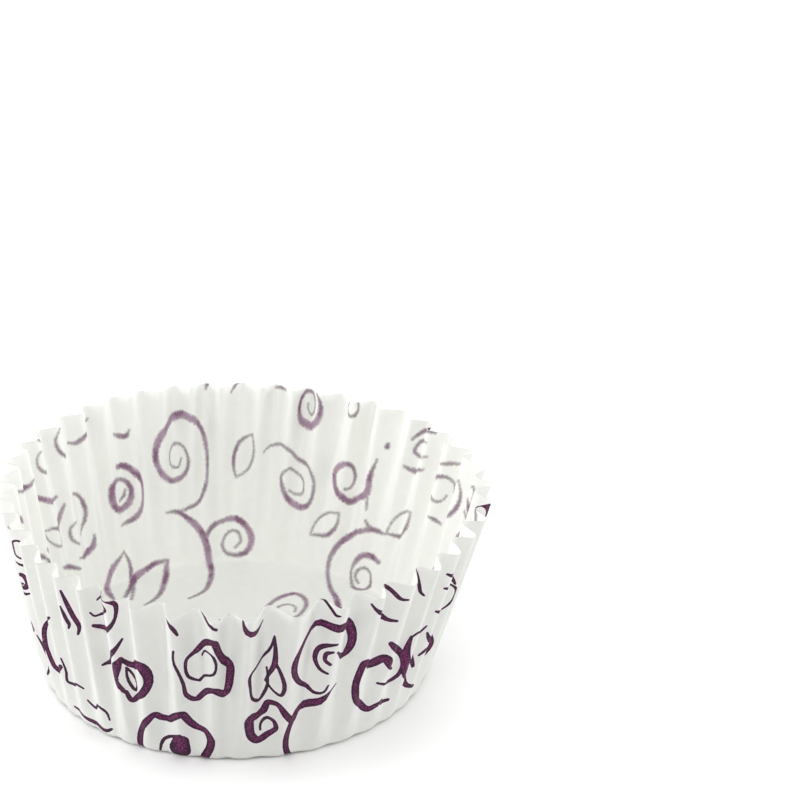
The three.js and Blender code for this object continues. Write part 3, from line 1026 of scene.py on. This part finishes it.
@dataclass
class ScrollPrint:
    """The whole print on the flat disc, seen from the printed side.

    Attributes:
        spots: Where each figure lies.
        book: The drawings of the figures.
        edge: Half the width of the soft band at an ink edge, in millimetres.
        seep: How far the ink's shade reaches past its edge inside the cup, in millimetres.
        thin: Half width of the thinnest lines, in millimetres.
        thick: Half width at which a line counts as fully inked, in millimetres.
        margin: How far from a stroke the ink's depth is still measured, in millimetres.
    """

    spots: tuple[Spot, ...] = REAR_SPOTS + FRONT_SPOTS + SIDE_SPOTS + BASE_SPOTS
    book: MotifBook = field(default_factory=MotifBook)
    edge: float = 0.075
    seep: float = 0.32
    thin: float = 0.15
    thick: float = 0.42
    margin: float = 1.0

    def __post_init__(self) -> None:
        """Draws every figure and lays it on the disc."""
        self.strokes: list[Stroke] = []
        for spot in self.spots:
            self.strokes.extend(self._laid(spot))

    def _laid(self, spot: Spot) -> list[Stroke]:
        """Lays one figure on the flat disc.

        Args:
            spot: The figure and its place.

        Returns:
            Its strokes on the disc.
        """
        bearing = math.radians(spot.bearing)
        tilt = math.radians(spot.tilt)
        radial = np.array([math.cos(bearing), math.sin(bearing)])
        tangent = np.array([-math.sin(bearing), math.cos(bearing)])
        upright = np.stack([tangent, radial], axis=1)
        turn = np.array([[math.cos(tilt), -math.sin(tilt)], [math.sin(tilt), math.cos(tilt)]])
        mirror = np.diag([-1.0 if spot.flip else 1.0, 1.0])
        laid = [stroke.moved(upright @ mirror @ turn, radial * spot.reach, spot.size)
                for stroke in self.book.strokes(spot.motif)]
        for stroke in laid:
            stroke.half = np.maximum(stroke.half, self.thin)
        return laid

    def depth(self, flat: np.ndarray) -> tuple[np.ndarray, np.ndarray]:
        """Measures how deep in the ink points of the disc lie.

        Args:
            flat: Points on the flat disc, a row each.

        Returns:
            The depth under the ink's edge, negative outside it, and the half width of the nearest line.
        """
        deepest = np.full(len(flat), -self.margin)
        weight = np.zeros(len(flat))
        for stroke in self.strokes:
            low = stroke.line.min(axis=0) - stroke.half.max() - self.margin
            high = stroke.line.max(axis=0) + stroke.half.max() + self.margin
            near = np.nonzero(((flat > low) & (flat < high)).all(axis=1))[0]
            if not len(near):
                continue
            start, end = stroke.line[:-1], stroke.line[1:]
            run = end - start
            off = flat[near][:, None, :] - start[None, :, :]
            share = np.clip((off * run).sum(axis=2) / (run * run).sum(axis=1), 0.0, 1.0)
            gap = np.linalg.norm(off - share[:, :, None] * run, axis=2)
            half = stroke.half[:-1] * (1.0 - share) + stroke.half[1:] * share
            inside = half - gap
            best = inside.argmax(axis=1)
            rows = np.arange(len(near))
            better = inside[rows, best] > deepest[near]
            deepest[near[better]] = inside[rows, best][better]
            weight[near[better]] = half[rows, best][better]
        return deepest, weight

    def numbers(self, flat: np.ndarray) -> dict[str, np.ndarray]:
        """Works out what the finishes need to know of the ink on points of the disc.

        Args:
            flat: Points on the flat disc, a row each.

        Returns:
            ink, from 0 on bare paper through 0.5 at the ink's edge to 1; seep, the same with a wider and
            softer edge; and load, from 0 on the thinnest lines to 1 on the thick ones.
        """
        deepest, weight = self.depth(flat)
        ink = np.clip(0.5 + deepest / (2.0 * self.edge), 0.0, 1.0)
        seep = np.clip((deepest + self.seep) / (2.0 * self.seep), 0.0, 1.0)
        load = np.clip((weight - self.thin) / (self.thick - self.thin), 0.0, 1.0)
        return {"ink": ink, "seep": seep, "load": load}


# Finishes


class Side(Enum):
    """The two faces of the paper."""

    OUTSIDE = "outside"
    INSIDE = "inside"


@dataclass(frozen=True)
class Grain:
    """A noise in the part's own space.

    Attributes:
        count: Grains in a metre.
        detail: Levels of finer grain.
    """

    count: float
    detail: float


class NodeBench:
    """Adds and joins the nodes of one material or sky."""

    def __init__(self, owner: bpy.types.Material | bpy.types.World) -> None:
        """Empties the node tree.

        Args:
            owner: The material or the sky.
        """
        owner.use_nodes = True
        self.tree = owner.node_tree
        self.tree.nodes.clear()

    def add(self, kind: str, inputs: dict[str, object] | None = None, **settings: object) -> bpy.types.Node:
        """Adds a node.

        Args:
            kind: The node's type.
            inputs: Plain values and sockets for its inputs.
            settings: Its properties.

        Returns:
            The node.
        """
        node = self.tree.nodes.new(kind)
        for name, value in settings.items():
            setattr(node, name, value)
        for name, value in (inputs or {}).items():
            self.feed(node.inputs[name], value)
        return node

    def feed(self, target: Socket, value: object) -> None:
        """Gives an input its value.

        Args:
            target: The input.
            value: A plain value, or the socket that gives it.
        """
        if isinstance(value, Socket):
            self.tree.links.new(value, target)
        else:
            target.default_value = value

    def show(self, kind: str, surface: Socket) -> None:
        """Adds the output node.

        Args:
            kind: The output node's type.
            surface: The socket that gives the surface.
        """
        self.add(kind, {"Surface": surface})

    def attribute(self, name: str) -> Socket:
        """Reads a number that the mesh carries.

        Args:
            name: The attribute's name.

        Returns:
            The socket that gives it.
        """
        return self.add("ShaderNodeAttribute", attribute_name=name).outputs["Fac"]

    def noise(self, grain: Grain) -> Socket:
        """Adds a noise in the part's own space.

        Args:
            grain: How fine it is.

        Returns:
            The socket that gives the noise, about 0.5.
        """
        place = self.add("ShaderNodeTexCoord").outputs["Object"]
        inputs = {"Scale": grain.count, "Detail": grain.detail, "Vector": place}
        return self.add("ShaderNodeTexNoise", inputs).outputs["Fac"]

    def steps(self, value: Socket, band: tuple[float, float]) -> Socket:
        """Turns a number into a smooth step from 0 to 1.

        Args:
            value: The number.
            band: Where the step starts and ends.

        Returns:
            The socket that gives the step.
        """
        inputs = {"From Min": band[0], "From Max": band[1], "Value": value}
        return self.add("ShaderNodeMapRange", inputs, interpolation_type="SMOOTHSTEP").outputs["Result"]

    def ragged(self, value: Socket, grain: Grain, strength: float) -> Socket:
        """Makes the edge of a soft number ragged.

        Args:
            value: The number.
            grain: The noise that frays it.
            strength: How far the noise moves it.

        Returns:
            The socket that gives the frayed number.
        """
        stray = self.sum("SUBTRACT", self.noise(grain), 0.5)
        return self.sum("ADD", value, self.sum("MULTIPLY", stray, strength))

    def sum(self, operation: str, first: Socket, second: Socket | float) -> Socket:
        """Works out a sum, product, difference or maximum.

        Args:
            operation: The math node's operation.
            first: The first number.
            second: The second number, a socket or a plain value.

        Returns:
            The socket that gives the result.
        """
        node = self.add("ShaderNodeMath", operation=operation)
        self.feed(node.inputs[0], first)
        self.feed(node.inputs[1], second)
        return node.outputs[0]

    def mix(self, share: Socket, first: Colour | Socket, second: Colour | Socket) -> Socket:
        """Mixes two colours.

        Args:
            share: How much of the second colour shows.
            first: A colour, or a socket that gives one.
            second: A colour, or a socket that gives one.

        Returns:
            The socket that gives the mix.
        """
        node = self.add("ShaderNodeMix", {"Factor": share}, data_type="RGBA")
        self.feed(node.inputs[6], first)
        self.feed(node.inputs[7], second)
        return node.outputs[2]


@dataclass(frozen=True)
class GreaseproofFinish:
    """White greaseproof paper with purple ink outside, which shows faintly through to the inside.

    Attributes:
        paper: Usual colour of the paper.
        thin_paper: Colour where the pulp lies thinner.
        whitened_fold_and_highlight: Lighter colour along the pressed folds: partly whitened fibres, partly a
            painted highlight.
        ink: Colour along the middle of thick strokes.
        edge_ink: Colour along the edges of strokes.
        fine_ink: Colour of thin strokes.
        speck: Colour of the paper that shows between the dots of ink.
        halo: Colour of the paper beside the ink.
        ghost: Colour of thick strokes through the paper, where the ink lies thick.
        pale_ghost: Colour of thick strokes through the paper, where the ink lies thin.
        fine_ghost: Colour of thin strokes through the paper.
        roughness: Roughness of the paper.
        specular: Strength of its reflections.
        glow: Share of the light that passes into the sheet.
        glow_reach: How far that light spreads, in millimetres.
        pulp: Mottling of the paper.
        pulp_band: Band of the mottling in which the paper turns from thin to usual.
        fold_whitening_and_highlight_share: How much of the folds' lighter colour, partly whitened fibres and
            partly a painted highlight, shows on their lines.
        fibres: Unevenness of the surface.
        bump: Strength of that unevenness.
        bump_height: Its height, in millimetres.
        fray: Noise that frays the ink's edge, and how far it moves the edge.
        print_band: Band of the ink number over which the ink starts.
        halo_band: Band of the seep number over which the halo starts.
        core_band: Band of the seep number over which the edge's ink turns into the middle's.
        dots: Gaps between the dots of ink.
        dot_band: Band of the noise over which a gap opens.
        speck_share: How much of the paper shows in a gap.
        cloud: Noise that frays the ink's shade inside, and how far it moves the edge.
        ghost_band: Band of the seep number over which the shade inside starts.
        ghost_share: How much of the shade shows.
        patches: Patches in which the ink lies thick.
        patch_band: Band of the noise over which a patch starts.
    """

    paper: Colour = linear(241, 242, 236)
    thin_paper: Colour = linear(239, 240, 234)
    # Lighter on the folds: partly whitened fibres, partly a painted highlight.
    whitened_fold_and_highlight: Colour = linear(246, 247, 243)
    ink: Colour = linear(60, 4, 46)
    edge_ink: Colour = linear(16, 4, 14)
    fine_ink: Colour = linear(34, 22, 32)
    speck: Colour = linear(150, 58, 126)
    halo: Colour = linear(252, 236, 247)
    ghost: Colour = linear(108, 56, 98)
    pale_ghost: Colour = linear(150, 124, 146)
    fine_ghost: Colour = linear(142, 138, 140)
    roughness: float = 0.62
    specular: float = 0.3
    glow: float = 0.50
    glow_reach: float = 0.3
    pulp: Grain = Grain(900.0, 5.0)
    pulp_band: tuple[float, float] = (0.35, 0.65)
    fold_whitening_and_highlight_share: float = 0.55
    fibres: Grain = Grain(2600.0, 4.0)
    bump: float = 0.35
    bump_height: float = 0.01
    fray: tuple[Grain, float] = (Grain(4200.0, 2.0), 0.35)
    print_band: tuple[float, float] = (0.40, 0.60)
    halo_band: tuple[float, float] = (0.05, 0.35)
    core_band: tuple[float, float] = (0.58, 0.95)
    dots: Grain = Grain(5200.0, 2.0)
    dot_band: tuple[float, float] = (0.50, 0.62)
    speck_share: float = 0.68
    cloud: tuple[Grain, float] = (Grain(3200.0, 3.0), 0.7)
    ghost_band: tuple[float, float] = (0.10, 0.86)
    ghost_share: float = 0.94
    patches: Grain = Grain(420.0, 3.0)
    patch_band: tuple[float, float] = (0.40, 0.60)

    def _bare_paper(self, bench: NodeBench) -> Socket:
        """Mottles the paper like pulp, and lightens its folds: partly whitened fibres, partly a painted
        highlight.

        Args:
            bench: The material's bench.

        Returns:
            The socket that gives the paper's colour.
        """
        mottled = bench.steps(bench.noise(self.pulp), self.pulp_band)
        # The fold lines are painted lighter: partly the fibres' whitening, partly a painted highlight on the
        # crests and troughs.
        fold = bench.sum("MULTIPLY", bench.attribute("whitened_fold_and_highlight"), self.fold_whitening_and_highlight_share)
        return bench.mix(fold, bench.mix(mottled, self.thin_paper, self.paper), self.whitened_fold_and_highlight)

    def _outside(self, bench: NodeBench) -> Socket:
        """Prints speckled ink with a pale halo.

        Args:
            bench: The material's bench.

        Returns:
            The socket that gives the printed paper's colour.
        """
        load, seep = bench.attribute("load"), bench.attribute("seep")
        paper = bench.mix(bench.steps(seep, self.halo_band), self._bare_paper(bench), self.halo)
        heavy = bench.sum("MULTIPLY", load, bench.steps(seep, self.core_band))
        solid = bench.mix(heavy, bench.mix(load, self.fine_ink, self.edge_ink), self.ink)
        gaps = bench.steps(bench.noise(self.dots), self.dot_band)
        shown = bench.sum("MULTIPLY", gaps, bench.sum("MULTIPLY", heavy, self.speck_share))
        printed = bench.steps(bench.ragged(bench.attribute("ink"), *self.fray), self.print_band)
        return bench.mix(printed, paper, bench.mix(shown, solid, self.speck))

    def _inside(self, bench: NodeBench) -> Socket:
        """Lets the ink show softly through the sheet.

        Args:
            bench: The material's bench.

        Returns:
            The socket that gives the inner face's colour.
        """
        shade = bench.steps(bench.ragged(bench.attribute("seep"), *self.cloud), self.ghost_band)
        patches = bench.steps(bench.noise(self.patches), self.patch_band)
        thick = bench.mix(patches, self.pale_ghost, self.ghost)
        ghost = bench.mix(bench.attribute("load"), self.fine_ghost, thick)
        return bench.mix(bench.sum("MULTIPLY", shade, self.ghost_share), self._bare_paper(bench), ghost)

    def material(self, side: Side) -> bpy.types.Material:
        """Makes the finish of one face of the paper.

        Args:
            side: Which face.

        Returns:
            The material.
        """
        material = bpy.data.materials.new(f"greaseproof_{side.value}")
        bench = NodeBench(material)
        fibres = bench.noise(self.fibres)
        bump = bench.add("ShaderNodeBump", {
            "Strength": self.bump,
            "Distance": self.bump_height * MM,
            "Height": fibres,
        })
        face = bench.add("ShaderNodeBsdfPrincipled", {
            "Base Color": self._outside(bench) if side is Side.OUTSIDE else self._inside(bench),
            "Roughness": self.roughness,
            "Specular IOR Level": self.specular,
            "Subsurface Weight": self.glow,
            "Subsurface Radius": (1.0, 1.0, 1.0),
            "Subsurface Scale": self.glow_reach * MM,
            "Normal": bump.outputs["Normal"],
        })
        bench.show("ShaderNodeOutputMaterial", face.outputs["BSDF"])
        return material


# The cup


@dataclass
class PaperCup:
    """The whole cup: both faces of the sheet and its cut edge, in one closed mesh.

    Attributes:
        sheet: The pressed sheet.
        scrolls: The print.
        finish: The paper's finish.
        columns: Points round each flute.
        ring_gap: Distance between rings of points up the wall, in millimetres.
        corner_rings: Rings of points in the bend at the base.
        base_gap: Distance between points on the base, in millimetres.
        clear: How far grid points stay from the lines round the ink, in millimetres.
        weld: Distance below which points of the disc are one, in millimetres.
        rim_slack: How far inside the rim a triangle's middle has to lie, in millimetres.
        outer_map: Middle and radius of the outside's disc on the texture map.
        inner_map: Middle and radius of the inside's disc on the texture map.
        edge_map: Radius of the cut edge's outer line, round the inside's disc.
    """

    sheet: PressedSheet = field(default_factory=PressedSheet)
    scrolls: ScrollPrint = field(default_factory=ScrollPrint)
    finish: GreaseproofFinish = field(default_factory=GreaseproofFinish)
    columns: int = 12
    ring_gap: float = 1.15
    corner_rings: int = 4
    base_gap: float = 1.6
    clear: float = 0.10
    weld: float = 1e-4
    rim_slack: float = 0.002
    outer_map: tuple[float, float] = (0.36, 0.352)
    inner_map: tuple[float, float] = (0.80, 0.188)
    edge_map: float = 0.194

    def _ring(self, reach: float) -> np.ndarray:
        """Spreads points round a ring, so that they follow the flutes.

        Args:
            reach: The ring's radius on the flat disc.

        Returns:
            The points, a row each.
        """
        share = np.arange(self.columns) / self.columns
        start = self.sheet.paper_edges[:-1, None]
        span = np.diff(self.sheet.paper_edges)[:, None]
        return circle(reach, (start + span * share[None, :]).ravel())

    def _grid(self) -> np.ndarray:
        """Spreads points over the disc, inside its rim.

        Returns:
            The points, a row each.
        """
        sheet = self.sheet
        rings = list(np.linspace(sheet.flat_radius, sheet.wall_start, self.corner_rings + 1))
        count = round(sheet.wall_length / self.ring_gap)
        rings += list(np.linspace(sheet.wall_start, sheet.disc_radius, count + 1)[1:-1])
        points = [self._ring(reach) for reach in rings]
        reach = sheet.flat_radius - self.base_gap / 2.0
        while reach > self.base_gap:
            number = int(FULL_TURN * reach / self.base_gap)
            points.append(circle(reach, FULL_TURN * (np.arange(number) + 0.5 * (len(points) % 2)) / number))
            reach -= self.base_gap
        grid = np.vstack(points)
        depth, _ = self.scrolls.depth(grid)
        return grid[depth < -self.scrolls.seep - self.clear]

    def _flat_mesh(self) -> tuple[np.ndarray, np.ndarray]:
        """Divides the flat disc into triangles that follow the flutes and the edges of the ink.

        Returns:
            The points and the triangles, both a row each.
        """
        loops = [self._ring(self.sheet.disc_radius)]
        for stroke in self.scrolls.strokes:
            for offset in (self.scrolls.seep, self.scrolls.edge, -self.scrolls.edge):
                loops.append(stroke.contour(offset))
        edges = []
        count = 0
        for loop in loops:
            size = len(loop)
            edges += [(count + index, count + (index + 1) % size) for index in range(size)]
            count += size
        middles = [stroke.line for stroke in self.scrolls.strokes]
        points = np.vstack(loops + middles + [self._grid()])
        found = delaunay_2d_cdt([Vector(point) for point in points.tolist()], edges, [], 0, self.weld, False)
        flat = np.array([tuple(point) for point in found[0]])
        faces = np.array(found[2])
        middle = flat[faces].mean(axis=1)
        faces = faces[np.hypot(middle[:, 0], middle[:, 1]) < self.sheet.disc_radius - self.rim_slack]
        used, faces = np.unique(faces, return_inverse=True)
        return flat[used], faces.reshape(-1, 3)

    @staticmethod
    def _rim_edges(faces: np.ndarray) -> np.ndarray:
        """Finds the edges that belong to one triangle only, in their triangle's direction.

        Args:
            faces: The triangles.

        Returns:
            The edges, a row each.
        """
        edges = np.vstack([faces[:, [0, 1]], faces[:, [1, 2]], faces[:, [2, 0]]])
        _, first, times = np.unique(np.sort(edges, axis=1), axis=0, return_index=True, return_counts=True)
        return edges[first[times == 1]]

    def build(self) -> bpy.types.Object:
        """Presses the printed disc into the cup.

        Returns:
            The cup.
        """
        flat, faces = self._flat_mesh()
        count = len(flat)
        outward = self.sheet.outward(flat)
        middle = self.sheet.place(flat)
        half = self.sheet.thickness / 2.0
        places = np.vstack([middle + outward * half, middle - outward * half]) * MM
        rim = self._rim_edges(faces)
        outside = faces[:, ::-1]
        inside = faces + count
        edge = np.stack([rim[:, 1] + count, rim[:, 0] + count, rim[:, 0], rim[:, 1]], axis=1)
        mesh = bpy.data.meshes.new("paper_cup")
        mesh.from_pydata(places.tolist(), [], outside.tolist() + inside.tolist() + edge.tolist())
        sides = np.repeat([0, 1, 1], [len(outside), len(inside), len(edge)])
        mesh.polygons.foreach_set("material_index", sides.astype(np.int32))
        mesh.shade_smooth()
        self._carry_numbers(mesh, flat)
        self._lay_map(mesh, flat, len(outside), len(edge))
        mesh.normals_split_custom_set_from_vertices(np.vstack([outward, -outward]).tolist())
        triangles = 2 * len(faces) + 2 * len(edge)
        LOG.info("paper cup: %d triangles, %d strokes of ink", triangles, len(self.scrolls.strokes))
        return add_object("printed_paper_cup", mesh)

    def _carry_numbers(self, mesh: bpy.types.Mesh, flat: np.ndarray) -> None:
        """Writes the ink, its load and the fold lines, which the finish paints lighter as whitened fibres and
        as a highlight, on both faces of the sheet.

        Args:
            mesh: The cup's mesh.
            flat: The points on the flat disc, in the order of the mesh's first half.
        """
        carried = self.scrolls.numbers(flat)
        # The fold lines carry a painted highlight, together with the fibres' whitening.
        carried["whitened_fold_and_highlight"] = self.sheet.whitened_fold_and_highlight(flat)
        for name, values in carried.items():
            numbers = mesh.attributes.new(name, "FLOAT", "POINT")
            numbers.data.foreach_set("value", np.concatenate([values, values]).astype(np.float32))

    def _lay_map(self, mesh: bpy.types.Mesh, flat: np.ndarray, face_count: int, edge_count: int) -> None:
        """Lays the flat disc's two faces side by side on the cup's texture map.

        Args:
            mesh: The cup's mesh.
            flat: The points on the flat disc.
            face_count: Triangles on each face of the sheet.
            edge_count: Faces round the cut edge.
        """
        corners = np.empty(len(mesh.loops), dtype=np.int32)
        mesh.loops.foreach_get("vertex_index", corners)
        unit = flat[corners % len(flat)] / self.sheet.disc_radius
        inner = corners >= len(flat)
        outer_disc = self.outer_map[0] + self.outer_map[1] * unit
        inner_disc = self.inner_map[0] + self.inner_map[1] * unit
        spots = np.where(inner[:, None], inner_disc, outer_disc)
        first_edge = 2 * 3 * face_count
        rim = np.zeros(len(corners), dtype=bool)
        rim[first_edge:first_edge + 4 * edge_count] = True
        skirt = self.inner_map[0] + self.edge_map * unit
        spots[rim & ~inner] = skirt[rim & ~inner]
        layer = mesh.uv_layers.new(name="OFBake")
        layer.uv.foreach_set("vector", spots.astype(np.float32).ravel())

    def dress(self, cup: bpy.types.Object) -> None:
        """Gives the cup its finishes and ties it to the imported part.

        Args:
            cup: The cup.
        """
        for side in (Side.OUTSIDE, Side.INSIDE):
            cup.data.materials.append(self.finish.material(side))
        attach(cup, "root")
        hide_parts("paper_cup")


# The studio


@dataclass(frozen=True)
class Viewpoint:
    """The camera, where the outline of the cup in the photograph puts it.

    Attributes:
        pitch: How far it looks down, in degrees.
        roll: How far it is turned about its own line of sight, in degrees.
        distance: Distance from the middle of the cup, in millimetres.
        focal: Focal length, in pixels of the picture.
        picture: Width and height of the picture, in pixels.
        cup_middle: Pixel on which the middle of the cup falls.
        sensor: Width of the sensor, in millimetres.
        nearest: Distance from which the camera sees, in metres.
    """

    pitch: float = 27.1
    roll: float = 0.91
    distance: float = 453.0
    focal: float = 3500.0
    picture: float = 810.0
    cup_middle: Point = (235.5, 573.0)
    sensor: float = 36.0
    nearest: float = 0.01

    def build(self, middle: Vector) -> None:
        """Sets up the camera.

        Args:
            middle: The middle of the cup, on its axis, in metres.
        """
        pitch = math.radians(self.pitch)
        ahead = Vector((0.0, math.cos(pitch), -math.sin(pitch)))
        level = Vector((1.0, 0.0, 0.0))
        roll = Matrix.Rotation(-math.radians(self.roll), 3, ahead)
        right = roll @ level
        up = roll @ level.cross(ahead)
        centre = self.picture / 2.0
        across = (self.cup_middle[0] - centre) / self.focal
        down = (self.cup_middle[1] - centre) / self.focal
        sight = (ahead + right * across - up * down).normalized()
        data = bpy.data.cameras.new("viewpoint")
        data.sensor_width = self.sensor
        data.lens = self.focal / self.picture * self.sensor
        data.clip_start = self.nearest
        camera = add_object("viewpoint", data)
        turn = Matrix((right, up, -ahead)).transposed().to_4x4()
        camera.matrix_world = Matrix.Translation(middle - sight * self.distance * MM) @ turn
        bpy.context.scene.camera = camera


@dataclass(frozen=True)
class SoftBox:
    """A large soft lamp that faces the cup.

    Attributes:
        name: The lamp's name.
        place: Where it stands, in metres.
        width: Its width and height, in metres.
        power: Its power, in watts.
    """

    name: str
    place: tuple[float, float, float]
    width: float
    power: float

    def build(self) -> None:
        """Hangs the lamp."""
        data = bpy.data.lights.new(self.name, "AREA")
        data.shape = "SQUARE"
        data.size = self.width
        data.energy = self.power
        lamp = add_object(self.name, data)
        lamp.location = self.place
        lamp.rotation_euler = (-Vector(self.place)).to_track_quat("-Z", "Y").to_euler()


@dataclass(frozen=True)
class Studio:
    """A white table under soft lamps.

    Attributes:
        lamps: The lamps.
        sky: Strength of the light from all round.
        table_width: Width of the table, in metres.
        table_drop: How far the table lies under the cup, in millimetres.
        seen_table: The table's colour as the camera sees it.
        lit_table: The table's colour in the light that it sends back to the cup.
    """

    lamps: tuple[SoftBox, ...] = (
        SoftBox("key_left", (-0.95, 0.0, 0.28), 0.6, 4.7),
        SoftBox("fill_right", (0.97, 0.05, 0.14), 0.5, 4.1),
        SoftBox("behind", (0.0, 1.00, 0.50), 0.9, 2.8),
        SoftBox("front", (-0.40, -0.90, 0.24), 0.7, 0.85),
        SoftBox("top", (0.0, -0.15, 1.00), 0.8, 3.4),
    )
    sky: float = 0.74
    table_width: float = 6.0
    table_drop: float = 0.01
    seen_table: Colour = WHITE
    lit_table: Colour = (0.45, 0.45, 0.45, 1.0)

    def _table_material(self) -> bpy.types.Material:
        """Makes a table that is white to the eye but sends back less light.

        Returns:
            The material.
        """
        material = bpy.data.materials.new("white_table")
        bench = NodeBench(material)
        path = bench.add("ShaderNodeLightPath")
        seen = bench.sum("MAXIMUM", path.outputs["Is Camera Ray"], path.outputs["Is Glossy Ray"])
        seen = bench.sum("MAXIMUM", seen, path.outputs["Is Transmission Ray"])
        colour = bench.mix(seen, self.lit_table, self.seen_table)
        surface = bench.add("ShaderNodeBsdfDiffuse", {"Color": colour})
        bench.show("ShaderNodeOutputMaterial", surface.outputs["BSDF"])
        return material

    def _sky(self) -> None:
        """Lights the cup evenly from all round and shows white behind the table."""
        world = bpy.data.worlds.new("studio")
        bench = NodeBench(world)
        soft = bench.add("ShaderNodeBackground", {"Color": WHITE, "Strength": self.sky})
        white = bench.add("ShaderNodeBackground", {"Color": WHITE, "Strength": 1.0})
        seen = bench.add("ShaderNodeLightPath").outputs["Is Camera Ray"]
        either = bench.add("ShaderNodeMixShader", {"Fac": seen})
        bench.feed(either.inputs[1], soft.outputs["Background"])
        bench.feed(either.inputs[2], white.outputs["Background"])
        bench.show("ShaderNodeOutputWorld", either.outputs["Shader"])
        bpy.context.scene.world = world

    def build(self) -> None:
        """Sets up the table, the sky and the lamps."""
        half = self.table_width / 2.0
        mesh = bpy.data.meshes.new("table")
        corners = [(-half, -half, 0.0), (half, -half, 0.0), (half, half, 0.0), (-half, half, 0.0)]
        mesh.from_pydata(corners, [], [(0, 1, 2, 3)])
        table = add_object("table", mesh)
        table.location = (0.0, 0.0, -self.table_drop * MM)
        table.data.materials.append(self._table_material())
        self._sky()
        for lamp in self.lamps:
            lamp.build()


def main() -> None:
    """Builds the camera, the studio and the cup."""
    logging.basicConfig(level=logging.INFO, format="%(name)s: %(message)s")
    bpy.context.scene.view_settings.view_transform = "Standard"
    low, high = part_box("paper_cup")
    middle = Vector((0.0, 0.0, (low.z + high.z) / 2.0))
    Viewpoint().build(middle)
    LOG.info("viewpoint set")
    Studio().build()
    LOG.info("studio set")
    cup = PaperCup()
    body = cup.build()
    cup.dress(body)


if __name__ == "__main__":
    main()
